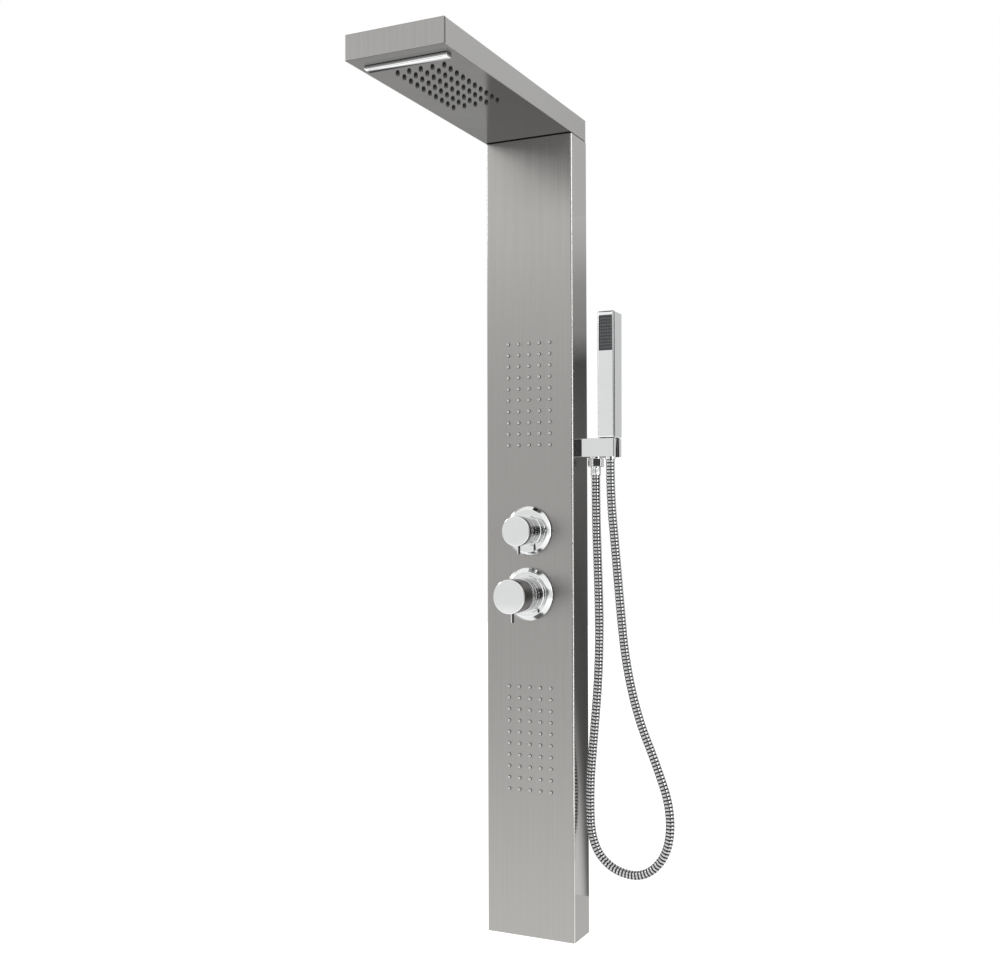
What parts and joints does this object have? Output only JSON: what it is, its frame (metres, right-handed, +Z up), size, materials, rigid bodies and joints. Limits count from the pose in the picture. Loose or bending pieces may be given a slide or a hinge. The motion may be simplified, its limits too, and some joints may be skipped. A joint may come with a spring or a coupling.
{
  "type": "rainfall shower column",
  "caption": "Wall-hung stainless shower column with a rain and waterfall arm, body jets, two round control knobs and a hand shower on a hose.",
  "frame": {"origin": "centre of the four wall-screw holes, on the wall plane, at mid height of the column", "axes": "+Z up along the column, +Y into the wall, so the front and the arm face -Y, and +X to the right as seen from the front"},
  "size_m": [0.3021, 0.48, 1.3],
  "materials": {
    "brushed_stainless": "vertically brushed satin",
    "polished_stainless": "polished",
    "chrome": "polished",
    "chrome_hose": "polished, ribbed",
    "galvanised_steel": "galvanised",
    "zinc_fixings": "zinc plated",
    "brass": "as cast and turned",
    "copper": "drawn",
    "grey_silicone": "matt",
    "black_plastic": "moulded",
    "white_plastic": "moulded",
    "dark_face_plastic": "satin",
    "ceramic": "lapped",
    "black_rubber": "matt",
    "braided_hose": "stainless braid"
  },
  "bodies": {
    "column": {"arm_bolts": "zinc_fixings", "arm_gasket": "black_rubber", "arm_hoses": "braided_hose", "arm_shell": "brushed_stainless", "arm_stiffeners": "galvanised_steel", "arm_underplate": "polished_stainless", "body_jet_chambers": "black_plastic", "body_jet_hoses": "braided_hose", "body_jet_nozzle_mats": "grey_silicone", "bottom_cap": "polished_stainless", "chamber_studs": "zinc_fixings", "check_valves": "white_plastic", "column_shell": "brushed_stainless", "column_top_frame": "galvanised_steel", "diverter_body": "brass", "diverter_collar": "chrome", "diverter_escutcheon": "chrome", "escutcheon_seals": "black_rubber", "fixed_ceramic_discs": "ceramic", "gland_nuts": "brass", "hand_shower_feed": "braided_hose", "hand_shower_holder": "chrome", "hanger_bars": "galvanised_steel", "holder_screws": "zinc_fixings", "hose_ferrules": "zinc_fixings", "inlet_nipples": "brass", "link_pipe": "copper", "link_pipe_nuts": "brass", "lock_nuts": "brass", "m5_nuts": "zinc_fixings", "mixer_body": "brass", "mixer_collar": "chrome", "mixer_escutcheon": "chrome", "outlet_elbow": "brass", "outlet_hose_nut": "chrome", "outlet_hose_sleeve": "chrome", "outlet_hose_washer": "black_rubber", "rain_chambers": "black_plastic", "rain_nozzle_mats": "grey_silicone", "shower_hose": "chrome_hose", "valve_cartridges": "white_plastic", "wall_brackets": "galvanised_steel", "waterfall_chamber": "black_plastic", "waterfall_lip": "chrome"},
    "mixer_knob": {"mixer_knob": "chrome", "mixer_lever": "chrome", "mixer_set_screw": "zinc_fixings", "mixer_spindle": "brass"},
    "diverter_knob": {"diverter_knob": "chrome", "diverter_lever": "chrome", "diverter_set_screw": "zinc_fixings", "diverter_spindle": "brass"},
    "hand_shower": {"hand_shower_body": "chrome", "hand_shower_face": "dark_face_plastic", "hand_shower_nozzles": "grey_silicone", "hand_shower_waterway": "white_plastic", "hand_shower_inlet": "brass", "cone_nut": "chrome", "cone_nut_washer": "black_rubber"}
  },
  "joints": [
    {"name": "mixer_turn", "type": "hinge", "parent": "column", "child": "mixer_knob", "pos_m": [0, -0.1, -0.112], "axis": [0, -1, 0], "range_deg": [0, 130]},
    {"name": "diverter_turn", "type": "hinge", "parent": "column", "child": "diverter_knob", "pos_m": [0, -0.09, -0.012], "axis": [0, -1, 0], "continuous": true},
    {"name": "hand_shower_lift", "type": "slide", "parent": "column", "child": "hand_shower", "axis": [0, 0, 1], "range_m": [0, 0.06]}
  ]
}
